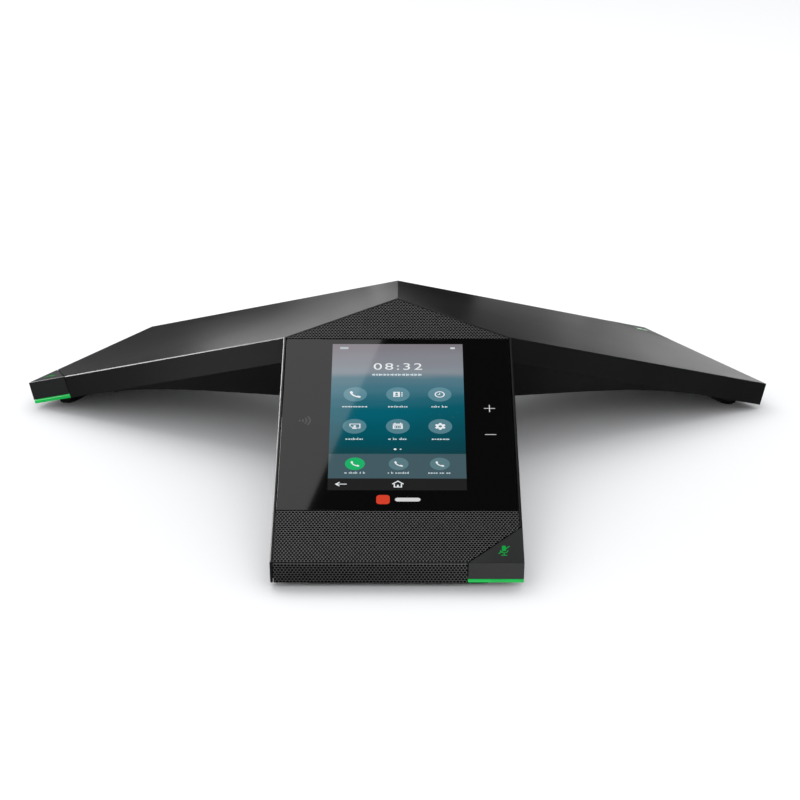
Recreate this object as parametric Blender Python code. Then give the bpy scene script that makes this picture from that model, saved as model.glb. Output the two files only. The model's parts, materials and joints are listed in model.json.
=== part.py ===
"""Three-legged conference telephone with a touch screen on its front leg.

Every physical piece is its own object. Lengths are in metres and +Z is up. The telephone stands on the
plane z = 0, and the origin is the centre of its footprint's bounding box.

Two frames place the pieces. The hub frame stands on the table under the apex, where the three legs meet.
A leg's slope frame lies in its sloping top: x to the right of someone who sits at the leg's end, y up the
slope with the apex at 0, and z square to the top, so a piece under the top has a negative z.
"""

import math

import bmesh
import bpy
from mathutils import Matrix, Vector

# Driving dimensions
ARM_REACH = 0.1893      # hub axis to the top edge of a leg's end
ARM_WIDTH = 0.1102      # across a leg
HEIGHT = 0.0740         # table to the apex
TIP_HEIGHT = 0.0131     # table to the top edge of a leg's end
EDGE = 0.0115           # thickness of a leg's end, square to its top
NOTCH_BAND = 0.0126     # height of the side band where two legs meet
WALL = 0.0020           # casing thickness
FIT = 0.0003            # gap between neighbouring pieces

# The legs, as turns about the hub axis from the front one
TURNS = {"front": 0.0, "left": math.radians(-120), "right": math.radians(120)}
LEGS = list(TURNS)

# Worked out from the driving dimensions
HALF = ARM_WIDTH / 2
SLOPE = math.atan2(HEIGHT - TIP_HEIGHT, ARM_REACH)
TOP_LENGTH = math.hypot(ARM_REACH, HEIGHT - TIP_HEIGHT)
TAN_60 = math.tan(math.radians(60))
HUB_Y = ARM_REACH / 4 - HALF * math.cos(math.radians(30)) / 2
RIM_TIP_U = ARM_REACH - EDGE * math.sin(SLOPE)
RIM_TIP_Z = TIP_HEIGHT - EDGE * math.cos(SLOPE)
NOTCH_U = HALF / TAN_60
NOTCH_RIM_Z = HEIGHT - NOTCH_U * math.tan(SLOPE) - NOTCH_BAND
RIM_FALL = (NOTCH_RIM_Z - RIM_TIP_Z) / (RIM_TIP_U - NOTCH_U)

# Casing details
CHAMFER = 0.0004
REBATE = 0.0030         # depth of the seat for glass and grilles
FRAME_RIM = 0.0011      # casing that shows beside the glass
ARCH_Z = 0.0242         # underside at the hub
ARCH_FALL = 0.012       # how much the underside falls for each metre outwards
ARCH_BLEND = 0.004      # softness of the bend between a leg's underside and the arch
TRAY_LIP = 0.0030
TRAY_END_U = RIM_TIP_U - (WALL + FIT) / math.cos(SLOPE)
TRAY_STEPS = 9
FOOT_TOP = 0.0024
FOOT_SIZE = (0.0420, 0.0042)        # half its length across the leg, and the radius of its ends
FOOT_MIDDLE = 0.1777                # from the hub axis, along a leg
BOSS = (0.1826, 0.1821, 0.1733, 0.1590)     # the foot's boss: outer wall, level sole, inner slope's end
BOSS_HALF = 0.0440

# Display
GLASS_TOP = 0.0345      # down the slope from the apex
GLASS_END = 0.1637
GLASS_THICK = 0.0020
GASKET_WIDTH = 0.0035
GASKET_THICK = 0.0006
SCREEN = (0.0621, 0.1104)
SCREEN_TOP = 0.0380
PANEL_MARGIN = 0.0024
PANEL_THICK = 0.0026
TRAY_THICK = 0.0009

# Grilles and mute keys
GRILLE_THICK = 0.0012
KEY_LEG = 0.0243
KEY_GAP = 0.0004
KEY_CAP = 0.0026
KEY_TRAVEL = 0.0007
LIGHT_TOP = -0.0097     # the light bar's upper edge, square to the leg's top
SWITCH_IN = 0.0090      # from the leg's two outer faces to the switch

# Pod under the hub, with the sockets in its rear wall
POD_Z = 0.0120
POD_TOP = 0.0480
POD_REAR = 0.0580
POD_HALF = 0.0380
POD_FRONT = (0.0180, 0.0280)
POD_SHOULDER_Y = 0.0150
BOARD_THICK = 0.0012

MATERIALS = {
    "satin_black": ((0.020, 0.020, 0.021), 0.42, 0.0),
    "matte_black": ((0.010, 0.010, 0.010), 0.60, 0.0),
    "grille_black": ((0.060, 0.060, 0.060), 0.45, 0.6),
    "glass_black": ((0.004, 0.004, 0.004), 0.06, 0.0),
    "screen_teal": ((0.030, 0.210, 0.260), 0.30, 0.0),
    "light_green": ((0.010, 0.450, 0.090), 0.35, 0.0),
    "rubber_black": ((0.012, 0.012, 0.012), 0.85, 0.0),
    "board_green": ((0.020, 0.110, 0.050), 0.50, 0.0),
    "steel": ((0.550, 0.550, 0.560), 0.35, 1.0),
    "magnet_grey": ((0.090, 0.090, 0.095), 0.50, 0.4),
    "paper_cone": ((0.030, 0.030, 0.032), 0.75, 0.0),
    "copper": ((0.720, 0.330, 0.150), 0.40, 1.0),
    "ribbon_amber": ((0.560, 0.280, 0.050), 0.40, 0.0),
    "label_white": ((0.700, 0.700, 0.690), 0.60, 0.0),
}


# Materials, frames and objects

def clear_scene():
    for obj in list(bpy.data.objects):
        bpy.data.objects.remove(obj, do_unlink=True)


def make_materials():
    made = {}
    for name, (colour, roughness, metallic) in MATERIALS.items():
        material = bpy.data.materials.new(name)
        material.use_nodes = True
        shader = material.node_tree.nodes["Principled BSDF"]
        shader.inputs["Base Color"].default_value = (*colour, 1.0)
        shader.inputs["Roughness"].default_value = roughness
        shader.inputs["Metallic"].default_value = metallic
        made[name] = material
    return made


def slope_matrix(leg):
    """The leg's slope frame, in the hub frame."""
    turn = Matrix.Rotation(TURNS[leg], 4, "Z")
    return turn @ Matrix.Translation((0, 0, HEIGHT)) @ Matrix.Rotation(SLOPE, 4, "X")


def level_matrix(leg):
    """The leg turned about the hub axis only: x to the right of someone at its end, and -y outwards."""
    return Matrix.Rotation(TURNS[leg], 4, "Z")


def make_frames():
    """An empty for the hub and one for each leg's slope and level frames."""
    hub = bpy.data.objects.new("hub_frame", None)
    hub.location = (0, HUB_Y, 0)
    bpy.context.scene.collection.objects.link(hub)
    frames = {"hub": hub}
    for leg in LEGS:
        for kind, matrix in (("slope", slope_matrix(leg)), ("level", level_matrix(leg))):
            frame = bpy.data.objects.new(f"{kind}_{leg}", None)
            bpy.context.scene.collection.objects.link(frame)
            frame.parent = hub
            frame.matrix_local = matrix
            frames[f"{kind}_{leg}"] = frame
    return frames


def object_from(name, bm):
    """The bmesh as an object, with its faces turned outwards."""
    bmesh.ops.recalc_face_normals(bm, faces=bm.faces)
    mesh = bpy.data.meshes.new(name)
    bm.to_mesh(mesh)
    bm.free()
    obj = bpy.data.objects.new(name, mesh)
    bpy.context.scene.collection.objects.link(obj)
    return obj


def combine(obj, bm, operation):
    """Cuts the shape in bm from obj, or joins it on, for good."""
    tool = object_from("tool", bm)
    modifier = obj.modifiers.new("combine", "BOOLEAN")
    modifier.object = tool
    modifier.operation = operation
    modifier.solver = "EXACT"
    bpy.context.view_layer.update()
    graph = bpy.context.evaluated_depsgraph_get()
    mesh = bpy.data.meshes.new_from_object(obj.evaluated_get(graph))
    obj.modifiers.clear()
    obj.data = mesh
    bpy.data.objects.remove(tool, do_unlink=True)


def cut(obj, bm):
    combine(obj, bm, "DIFFERENCE")


def join(obj, bm):
    combine(obj, bm, "UNION")


def place(obj, frame, material, round_angle=None, location=(0, 0, 0)):
    """Gives obj its frame, place and material. Round pieces are shaded smooth up to an angle in degrees."""
    obj.parent = frame
    obj.location = location
    obj.data.materials.clear()
    obj.data.materials.append(material)
    if round_angle:
        obj.data.shade_smooth()
        obj.data.set_sharp_from_angle(angle=math.radians(round_angle))
    return obj


def soften(obj, width, angle=30, segments=1):
    """Chamfers or rounds obj's edges with a Bevel modifier."""
    bevel = obj.modifiers.new("soft_edges", "BEVEL")
    bevel.width = width
    bevel.segments = segments
    bevel.limit_method = "ANGLE"
    bevel.angle_limit = math.radians(angle)


# Shapes

def moved(bm, matrix):
    bmesh.ops.transform(bm, matrix=matrix, verts=bm.verts)
    return bm


def box(x, y, z):
    """A box from its (low, high) extents."""
    bm = bmesh.new()
    bmesh.ops.create_cube(bm, size=1.0)
    for axis, (low, high) in enumerate((x, y, z)):
        for vert in bm.verts:
            vert.co[axis] = low if vert.co[axis] < 0 else high
    return bm


def prism(outline, low, high):
    """The outline, a list of (x, y), as a solid between two heights."""
    bm = bmesh.new()
    face = bm.faces.new([bm.verts.new((x, y, low)) for x, y in outline])
    grown = bmesh.ops.extrude_face_region(bm, geom=[face])
    top = [item for item in grown["geom"] if isinstance(item, bmesh.types.BMVert)]
    bmesh.ops.translate(bm, verts=top, vec=(0, 0, high - low))
    return bm


def side_prism(outline, low, high):
    """The outline, a list of (y, z), as a solid between two x."""
    turn = Matrix(((0, 0, 1, 0), (1, 0, 0, 0), (0, 1, 0, 0), (0, 0, 0, 1)))
    return moved(prism(outline, low, high), turn)


def cylinder(x, y, low, high, radius, sides=24):
    outline = [(x + radius * math.cos(2 * math.pi * i / sides), y + radius * math.sin(2 * math.pi * i / sides))
               for i in range(sides)]
    return prism(outline, low, high)


def stadium(half_length, radius, sides=6):
    """A long outline with round ends, along x."""
    outline = []
    for centre, start in ((half_length - radius, -90), (radius - half_length, 90)):
        for i in range(sides + 1):
            angle = math.radians(start + 180 * i / sides)
            outline.append((centre + radius * math.cos(angle), radius * math.sin(angle)))
    return outline


def turned(profile, steps=32):
    """The closed profile, a list of (radius, z), turned about the z axis."""
    bm = bmesh.new()
    rings = []
    for radius, z in profile:
        if radius < 1e-9:
            rings.append([bm.verts.new((0, 0, z))] * steps)
            continue
        rings.append([bm.verts.new((radius * math.cos(2 * math.pi * i / steps),
                                    radius * math.sin(2 * math.pi * i / steps), z)) for i in range(steps)])
    for inner, outer in zip(rings, rings[1:] + rings[:1]):
        for i in range(steps):
            j = (i + 1) % steps
            corners = [inner[i], inner[j], outer[j], outer[i]]
            corners = [c for n, c in enumerate(corners) if c not in corners[:n]]
            if len(corners) > 2:
                bm.faces.new(corners)
    return bm


def strip(path, x, thickness):
    """A flat ribbon between two x, with its lower side on path, a list of (y, z) from one end to the other."""
    points = [Vector(point) for point in path]
    upper = []
    for i, point in enumerate(points):
        before = (point - points[i - 1]).normalized() if i else None
        after = (points[i + 1] - point).normalized() if i + 1 < len(points) else None
        along = ((before or after) + (after or before)).normalized()
        across = Vector((-along.y, along.x))
        widening = across.dot(Vector((-(after or before).y, (after or before).x)))
        upper.append(point + across * thickness / widening)
    return side_prism([tuple(point) for point in points + upper[::-1]], *x)


# The three-legged casing

def top_z(u, drop=0.0):
    """Height of the top, or of a surface that far under it, at u from the hub axis along a leg."""
    return HEIGHT - drop / math.cos(SLOPE) - u * math.tan(SLOPE)


def rim_z(u):
    """Height of the lower edge of the side band."""
    return RIM_TIP_Z + (RIM_TIP_U - u) * RIM_FALL


def floor_z(u):
    """Height of the underside: parallel to the top near a leg's end, and bending into a low arch."""
    leg, arch = rim_z(u), ARCH_Z - ARCH_FALL * u
    return -ARCH_BLEND * math.log(math.exp(-leg / ARCH_BLEND) + math.exp(-arch / ARCH_BLEND))


def end_u(z_at_hub, fall, inset):
    """Where a surface that falls outwards meets the leg's end face, moved in by inset."""
    sine, cosine = math.sin(SLOPE), math.cos(SLOPE)
    reach = ARM_REACH * cosine + (z_at_hub - TIP_HEIGHT) * sine - inset
    return reach / (cosine + fall * sine)


def star(inset, drop, rim_drop, chamfer=0.0):
    """The casing's outer block, with its walls moved in by inset, its top by drop and its rim by rim_drop."""
    bm = bmesh.new()
    half = HALF - inset
    notch_u = half / TAN_60
    top_end = end_u(top_z(0, drop), math.tan(SLOPE), inset)
    rim_end = end_u(rim_z(0) - rim_drop, RIM_FALL, inset)
    apex = bm.verts.new((0, 0, top_z(0, drop)))
    base = bm.verts.new((0, 0, rim_z(0) - rim_drop))
    ends, notches = [], []
    for leg in LEGS:
        turn = level_matrix(leg)
        ends.append([bm.verts.new(turn @ Vector((v, -u, z))) for v, u, z in (
            (-half, top_end, top_z(top_end, drop)), (half, top_end, top_z(top_end, drop)),
            (half, rim_end, rim_z(rim_end) - rim_drop), (-half, rim_end, rim_z(rim_end) - rim_drop))])
        notches.append([bm.verts.new(turn @ Vector((-half, -notch_u, z))) for z in (
            top_z(notch_u, drop), rim_z(notch_u) - rim_drop)])
    outer_edges = []
    for i, (top_left, top_right, rim_right, rim_left) in enumerate(ends):
        (left_top, left_rim), (right_top, right_rim) = notches[i], notches[i - 1]
        bm.faces.new((apex, left_top, top_left, top_right, right_top))
        bm.faces.new((base, right_rim, rim_right, rim_left, left_rim))
        bm.faces.new((left_top, left_rim, rim_left, top_left))
        bm.faces.new((right_rim, right_top, top_right, rim_right))
        bm.faces.new((top_left, rim_left, rim_right, top_right))
        outer_edges += [(left_top, top_left), (top_left, top_right), (top_right, right_top),
                        (top_left, rim_left), (top_right, rim_right)]
    if chamfer:
        edges = [bm.edges.get(pair) for pair in outer_edges]
        bmesh.ops.bevel(bm, geom=edges, offset=chamfer, segments=1, affect="EDGES")
    return bm


def key_outline(gap):
    """The mute key's triangle on a leg's top, grown by gap along its long side and past the leg's faces."""
    past = 0.001 if gap else 0.0
    leg = KEY_LEG + gap * math.sqrt(2) + 2 * past
    right, end = HALF + past, -(TOP_LENGTH + past)
    return [(right, end), (right, end + leg), (right - leg, end)]


def key_wall_outline(gap):
    """The key's two walls, along the leg's end and side, as an L."""
    past = 0.001 if gap else 0.0
    right, end = HALF + past, -(TOP_LENGTH + past)
    length, thick = KEY_LEG + gap + past, WALL + gap + past
    return [(right, end), (right, end + length), (right - thick, end + length), (right - thick, end + thick),
            (right - length, end + thick), (right - length, end)]


def window_outline():
    """The front leg's opening for its grilles and glass, in the slope frame."""
    notch_s = NOTCH_U / math.cos(SLOPE)
    spread = HALF / notch_s
    lip = 0.0008 * math.hypot(1, spread) / spread
    half = HALF - FRAME_RIM
    end = -(TOP_LENGTH + 0.005)
    return [(0, -lip), (-half, -lip - half / spread), (-half, end), (half, end), (half, -lip - half / spread)]


SCREW_AT = (0.0465, 0.150)          # either side of a leg, and down its slope
POST_TOP, POST_END = -0.0034, -0.0083
BOSS_TOP = -0.0087
HEAD_RADIUS, HEAD_HEIGHT = 0.0024, 0.0014
SHANK_RADIUS, SHANK_TOP = 0.0012, -0.0050
SCREW_SEAT = -0.0104                # underside of the boss's floor, where the head bears


def make_top_cover(frames, materials):
    cover = object_from("top_cover", star(0, 0, 0, CHAMFER))
    cut(cover, star(WALL, WALL, 0.030))
    for leg in LEGS:
        slope = slope_matrix(leg)
        x, s = SCREW_AT
        for side in (-1, 1):
            top = POST_TOP if leg == "front" else -0.0015
            post = cylinder(side * x, -s, POST_END, top, 0.0032, 16)
            join(cover, moved(post, slope))
            rib = box(sorted((side * x, side * (HALF - 0.0012))), (-s - 0.0011, -s + 0.0011),
                      (POST_END + 0.0004, POST_TOP - 0.0004))
            join(cover, moved(rib, slope))
            pilot = cylinder(side * x, -s, POST_END - 0.001, SHANK_TOP + 0.0004, SHANK_RADIUS + FIT, 12)
            cut(cover, moved(pilot, slope))
        cut(cover, moved(prism(key_outline(KEY_GAP), -WALL - 0.0004, 0.002), slope))
        cut(cover, moved(prism(key_wall_outline(KEY_GAP), -EDGE - 0.002, -WALL + 0.0002), slope))
    front = slope_matrix("front")
    cut(cover, moved(prism(window_outline(), -REBATE, 0.003), front))
    grille_end = box((-(HALF - FRAME_RIM), HALF - KEY_LEG), (-TOP_LENGTH - 0.003, -TOP_LENGTH + 0.0030),
                     (-EDGE - 0.002, 0.002))
    cut(cover, moved(grille_end, front))
    place(cover, frames["hub"], materials["satin_black"])


def tray_solid(inset, lift, lip):
    """The bottom cover's block: the arched underside, its slanted sides and a lip that stands in the casing."""
    bm = bmesh.new()
    half = HALF - WALL - FIT - inset
    end = TRAY_END_U - inset

    def run(u):
        return rim_z(u) - floor_z(u)

    low, high = 0.0, half / TAN_60
    for _ in range(40):
        middle = (low + high) / 2
        low, high = (middle, high) if middle * TAN_60 < half - run(middle) else (low, middle)
    starts = {"axis": 0.0, "edge": low, "rim": half / TAN_60, "lip": half / TAN_60}

    def row(leg, side, kind):
        turn = level_matrix(leg)
        made = []
        for i in range(TRAY_STEPS + 1):
            u = starts[kind] + (end - starts[kind]) * i / TRAY_STEPS
            v = {"axis": 0.0, "edge": half - run(u), "rim": half, "lip": half}[kind]
            z = {"axis": floor_z(u) + lift, "edge": floor_z(u) + lift,
                 "rim": rim_z(u) + lift * 0.4, "lip": rim_z(u) + lip}[kind]
            made.append(bm.verts.new(turn @ Vector((side * v, -u, z))))
        return made

    for leg in LEGS:
        caps = []
        rings = []
        for side in (-1, 1):
            axis, edge, rim, top = (row(leg, side, kind) for kind in ("axis", "edge", "rim", "lip"))
            for first, second in ((axis, edge), (edge, rim), (rim, top)):
                for i in range(TRAY_STEPS):
                    bm.faces.new((first[i], first[i + 1], second[i + 1], second[i]))
            caps.append(top)
            rings.append([axis[-1], edge[-1], rim[-1], top[-1]])
        bm.faces.new(rings[0] + rings[1][::-1][:-1])
        hub_top = bm.verts.new((0, 0, rim_z(0) + lip))
        bm.faces.new([hub_top] + caps[0] + caps[1][::-1])
    bmesh.ops.remove_doubles(bm, verts=bm.verts, dist=1e-6)
    bmesh.ops.dissolve_degenerate(bm, edges=bm.edges, dist=1e-6)
    bmesh.ops.triangulate(bm, faces=bm.faces)
    return bm


def pod_outline(inset):
    front_x, front_y = POD_FRONT
    left = [(-(POD_HALF - inset), POD_REAR - inset), (-(POD_HALF - inset), POD_SHOULDER_Y),
            (-(front_x - inset * 0.6), -(front_y - inset))]
    return left + [(-x, y) for x, y in left[::-1]]


# Sockets along the pod's rear wall: middle x, width, height, depth, then the mouth's width, height, depth and sill
BOARD_TOP = POD_Z + WALL + FIT + BOARD_THICK
SOCKETS = {
    "lan_jack": (-0.0260, 0.0162, 0.0130, 0.0210, 0.0118, 0.0080, 0.0150, 0.0018),
    "usb_host_port": (-0.0065, 0.0145, 0.0070, 0.0140, 0.0126, 0.0049, 0.0110, 0.0010),
    "usb_service_port": (0.0080, 0.0080, 0.0030, 0.0060, 0.0068, 0.0018, 0.0045, 0.0006),
    "mic_port_left": (0.0195, 0.0094, 0.0090, 0.0120, 0.0077, 0.0066, 0.0090, 0.0012),
    "mic_port_right": (0.0308, 0.0094, 0.0090, 0.0120, 0.0077, 0.0066, 0.0090, 0.0012),
}


def make_bottom_cover(frames, materials):
    cover = object_from("bottom_cover", tray_solid(0, 0, TRAY_LIP))
    join(cover, prism(pod_outline(0), POD_Z, POD_TOP))
    cut(cover, tray_solid(WALL, WALL, 0.030))
    cut(cover, prism(pod_outline(WALL), POD_Z + WALL, 0.080))
    for leg in LEGS:
        level, slope = level_matrix(leg), slope_matrix(leg)
        outer, sole_out, sole_in, inner = BOSS
        boss = [(-outer, floor_z(outer) + 0.001), (-sole_out, FOOT_TOP + FIT), (-sole_in, FOOT_TOP + FIT),
                (-inner, floor_z(inner) + 0.001)]
        join(cover, moved(side_prism(boss, -BOSS_HALF, BOSS_HALF), level))
        cut(cover, moved(prism(key_outline(KEY_GAP), LIGHT_TOP + 0.0001, 0.002), slope))
        x, s = SCREW_AT
        for side in (-1, 1):
            join(cover, moved(cylinder(side * x, -s, SCREW_SEAT - 0.0008, BOSS_TOP, 0.0038, 16), slope))
            cut(cover, moved(cylinder(side * x, -s, -0.030, SCREW_SEAT - FIT, HEAD_RADIUS + FIT, 16), slope))
            cut(cover, moved(cylinder(side * x, -s, -0.030, 0.0, SHANK_RADIUS + FIT, 12), slope))
    for x, width, height, depth, *_ in SOCKETS.values():
        grow = width / 2 + FIT
        cut(cover, box((x - grow, x + grow), (POD_REAR - depth - FIT, POD_REAR + 0.0003),
                       (BOARD_TOP, BOARD_TOP + height + 2 * FIT)))
    cut(cover, box((-POD_HALF - 0.001, -POD_HALF + 0.003), (0.020, 0.027), (0.018, 0.021)))
    place(cover, frames["hub"], materials["matte_black"])


# Feet and screws

def make_feet(frames, materials):
    for leg in LEGS:
        foot = object_from(f"foot_{leg}", prism(stadium(*FOOT_SIZE), 0, FOOT_TOP))
        soften(foot, 0.0005, 40)
        place(foot, frames[f"level_{leg}"], materials["rubber_black"], 50, (0, -FOOT_MIDDLE, 0))


def make_screws(frames, materials):
    """Six screws, from under the legs into the top cover's posts, with a cross recess."""
    number = 0
    x, s = SCREW_AT
    for leg in LEGS:
        for side in (-1, 1):
            number += 1
            head_low = SCREW_SEAT - FIT - HEAD_HEIGHT
            profile = [(0, SHANK_TOP), (SHANK_RADIUS * 0.7, SHANK_TOP), (SHANK_RADIUS, SHANK_TOP - 0.0006),
                       (SHANK_RADIUS, SCREW_SEAT - FIT - 0.0001), (HEAD_RADIUS, SCREW_SEAT - FIT - 0.0001),
                       (HEAD_RADIUS, head_low + 0.0004), (HEAD_RADIUS * 0.75, head_low), (0, head_low)]
            screw = object_from(f"case_screw_{number}", turned(profile, 12))
            for long, wide in ((0.0014, 0.0003), (0.0003, 0.0014)):
                cut(screw, box((-long, long), (-wide, wide), (head_low - 0.001, head_low + 0.0008)))
            place(screw, frames[f"slope_{leg}"], materials["steel"], None, (side * x, -s, 0))


# The display, in the front leg's slope frame

def make_display(frames, materials):
    frame = frames["slope_front"]
    half = HALF - FRAME_RIM - FIT
    glass = object_from("display_glass", box((-half, half), (-GLASS_END, -GLASS_TOP), (-GLASS_THICK, 0)))
    soften(glass, 0.0003)
    place(glass, frame, materials["glass_black"])

    low = -GLASS_THICK - FIT - GASKET_THICK
    edge_y = (-GLASS_END + FIT, -GLASS_TOP - FIT)
    gasket = object_from("glass_gasket", box((-half, half), edge_y, (low, low + GASKET_THICK)))
    inner = half - GASKET_WIDTH
    cut(gasket, box((-inner, inner), (edge_y[0] + GASKET_WIDTH, edge_y[1] - 0.0015),
                    (low - 0.001, low + GASKET_THICK + 0.001)))
    place(gasket, frame, materials["matte_black"])

    panel_x = SCREEN[0] / 2 + PANEL_MARGIN
    panel_y = (-SCREEN_TOP - SCREEN[1] - PANEL_MARGIN, -SCREEN_TOP + 0.0015)
    panel_z = (-GLASS_THICK - FIT - PANEL_THICK, -GLASS_THICK - FIT)
    panel = object_from("lcd_panel", box((-panel_x, panel_x), panel_y, panel_z))
    soften(panel, 0.0003)
    place(panel, frame, materials["screen_teal"])

    grow, tray_low = FIT + TRAY_THICK, panel_z[0] - FIT - TRAY_THICK
    tray = object_from("display_tray", box((-panel_x - grow, panel_x + grow), (panel_y[0] - grow, panel_y[1] + grow),
                                           (tray_low, panel_z[1] - 0.0008)))
    cut(tray, box((-panel_x - FIT, panel_x + FIT), (panel_y[0] - FIT, panel_y[1] + FIT),
                  (panel_z[0] - FIT, 0.0)))
    cut(tray, box((-0.012, 0.012), (panel_y[0] - 0.004, panel_y[0]), (panel_z[0] - FIT, 0.0)))
    place(tray, frame, materials["steel"])

    start = panel_y[0] - 0.0006
    flex_path = [(start, panel_z[0] + 0.0012), (start - 0.0016, panel_z[0] + 0.0008), (start - 0.0022, tray_low),
                 (start - 0.0012, tray_low - 0.0010), (start + 0.0030, tray_low - 0.0010),
                 (MAIN_BOARD_Y[0] + 0.0040, tray_low - 0.0010)]
    flex = object_from("display_flex", strip(flex_path, (-0.010, 0.010), 0.0003))
    place(flex, frame, materials["ribbon_amber"])

    antenna_z = (-GLASS_THICK - FIT - 0.0004, -GLASS_THICK - FIT)
    antenna = object_from("nfc_antenna", box((-0.0495, -0.0365), (-0.108, -0.072), antenna_z))
    cut(antenna, box((-0.0470, -0.0390), (-0.1055, -0.0745), (antenna_z[0] - 0.001, 0.0)))
    place(antenna, frame, materials["copper"])


# Boards

MAIN_BOARD_Y = (-0.118, -0.046)
MAIN_BOARD_Z = (-0.0098, -0.0084)


def make_boards(frames, materials):
    front = frames["slope_front"]
    board = object_from("main_board", box((-0.036, 0.036), MAIN_BOARD_Y, MAIN_BOARD_Z))
    chips = [(-0.026, -0.100, 0.012, 0.004), (-0.002, -0.104, 0.008, 0.008), (0.022, -0.096, 0.010, 0.006),
             (0.024, -0.072, 0.014, 0.014)]
    for x, y, width, length in chips:
        join(board, box((x - width / 2, x + width / 2), (y - length / 2, y + length / 2),
                        (MAIN_BOARD_Z[0] - 0.0010, MAIN_BOARD_Z[0] + 0.0003)))
    place(board, front, materials["board_green"])

    below = MAIN_BOARD_Z[0] - FIT
    spreader = object_from("heat_spreader", box((-0.022, 0.008), (-0.086, -0.056), (below - 0.0040, below)))
    for i in range(5):
        x = -0.0185 + 0.0055 * i
        cut(spreader, box((x, x + 0.0028), (-0.090, -0.050), (below - 0.006, below - 0.0014)))
    place(spreader, front, materials["steel"])

    module = object_from("wireless_module", box((0.014, 0.030), (-0.062, -0.049), (below - 0.0022, below)))
    soften(module, 0.0003)
    place(module, front, materials["steel"])

    io_z = (BOARD_TOP - BOARD_THICK, BOARD_TOP)
    io_board = object_from("io_board", box((-0.0355, 0.0355), (0.0170, POD_REAR - WALL - FIT), io_z))
    for x, y, width, length, height in ((-0.022, 0.024, 0.010, 0.010, 0.0030), (0.002, 0.026, 0.012, 0.008, 0.0020),
                                        (0.024, 0.027, 0.007, 0.007, 0.0060)):
        join(io_board, box((x - width / 2, x + width / 2), (y - length / 2, y + length / 2),
                           (io_z[1] - 0.0003, io_z[1] + height)))
    place(io_board, frames["hub"], materials["board_green"])

    for leg in LEGS:
        leg_board = object_from(f"leg_board_{leg}", box((-0.034, 0.0500), (-0.1926, -0.1725), (-0.0092, -0.0082)))
        join(leg_board, box((-0.006, 0.006), (-0.1765, -0.1730), (-0.0084, -0.0062)))
        place(leg_board, frames[f"slope_{leg}"], materials["board_green"])
        ribbon = object_from(f"leg_ribbon_{leg}", strip(ribbon_path(), (-0.0040, 0.0040), 0.0004))
        place(ribbon, frames[f"level_{leg}"], materials["ribbon_amber"], None, (0.016, 0, 0))


def ribbon_path(steps=10):
    """The leg's flat cable, just above the bottom cover's floor from the leg board to the hub."""
    outer, inner = 0.1600, 0.0450
    path = []
    for i in range(steps + 1):
        u = outer + (inner - outer) * i / steps
        path.append((-u, floor_z(u) + WALL + 0.0006))
    return path


# Mute keys, their switches and the microphones, one set for each leg

STEM_RADIUS = 0.0012
STEM_TOP = -0.0042
SWITCH_TOP = -0.0052
SWITCH_LOW = -0.0079


def make_leg_ends(frames, materials):
    switch_x, switch_y = HALF - SWITCH_IN, -(TOP_LENGTH - SWITCH_IN)
    for leg in LEGS:
        frame = frames[f"slope_{leg}"]
        key = object_from(f"mute_key_{leg}", prism(key_outline(0), -KEY_CAP, 0))
        join(key, prism(key_wall_outline(0), LIGHT_TOP + FIT, -WALL - FIT))
        join(key, cylinder(switch_x, switch_y, STEM_TOP + 0.0001, -KEY_CAP + 0.0006, 0.0018, 16))
        soften(key, 0.0004, 40)
        place(key, frame, materials["satin_black"])

        bar = object_from(f"light_bar_{leg}", prism(key_wall_outline(0), -EDGE, LIGHT_TOP))
        soften(bar, 0.0003, 40)
        place(bar, frame, materials["light_green"])

        half = 0.0031
        switch = object_from(f"mute_switch_{leg}", box((-half, half), (-half, half), (SWITCH_LOW, SWITCH_TOP)))
        cut(switch, cylinder(0, 0, SWITCH_LOW + 0.0004, SWITCH_TOP + 0.001, STEM_RADIUS + 0.0002, 16))
        place(switch, frame, materials["matte_black"], None, (switch_x, switch_y, 0))

        stem_low = SWITCH_LOW + 0.0004 + KEY_TRAVEL + 0.0002
        stem = object_from(f"switch_stem_{leg}", cylinder(0, 0, stem_low, STEM_TOP, STEM_RADIUS, 16))
        place(stem, frame, materials["label_white"], 40, (switch_x, switch_y, 0))

        profile = [(0, -0.0045), (0.0024, -0.0045), (0.0030, -0.0051), (0.0030, -0.0079), (0, -0.0079)]
        mic = object_from(f"mic_capsule_{leg}", turned(profile, 16))
        place(mic, frame, materials["magnet_grey"], 40, (-0.025, -0.187, 0))


# Grilles of the front leg. Their holes are far too many and fine for this model, so they are plain sheets here.

def make_grilles(frames, materials):
    frame = frames["slope_front"]
    window = window_outline()
    apex_y, corner_y = window[0][1], window[1][1]
    half = HALF - FRAME_RIM - FIT
    spread = (HALF - FRAME_RIM) / (apex_y - corner_y)
    top = apex_y - FIT * math.hypot(1, spread) / spread
    low_y = -(GLASS_TOP - FIT)
    upper = object_from("grille_upper", prism([(0, top), (-half, top - half / spread), (-half, low_y),
                                               (half, low_y), (half, top - half / spread)], -GRILLE_THICK, 0))
    place(upper, frame, materials["grille_black"])

    start, end = -(GLASS_END + FIT), -TOP_LENGTH
    slant = KEY_LEG + KEY_GAP * math.sqrt(2)
    corner = HALF - slant
    outline = [(-half, end), (corner, end), (half, end + slant - (HALF - half)), (half, start), (-half, start)]
    lower = object_from("grille_lower", prism(outline, -GRILLE_THICK, 0))
    join(lower, box((-half, HALF - KEY_LEG - KEY_GAP), (end, end + GRILLE_THICK), (-EDGE, -GRILLE_THICK / 2)))
    soften(lower, 0.0004, 60)
    place(lower, frame, materials["grille_black"])


# Speaker, on the hub axis

SPEAKER_STEPS = 32


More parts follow.
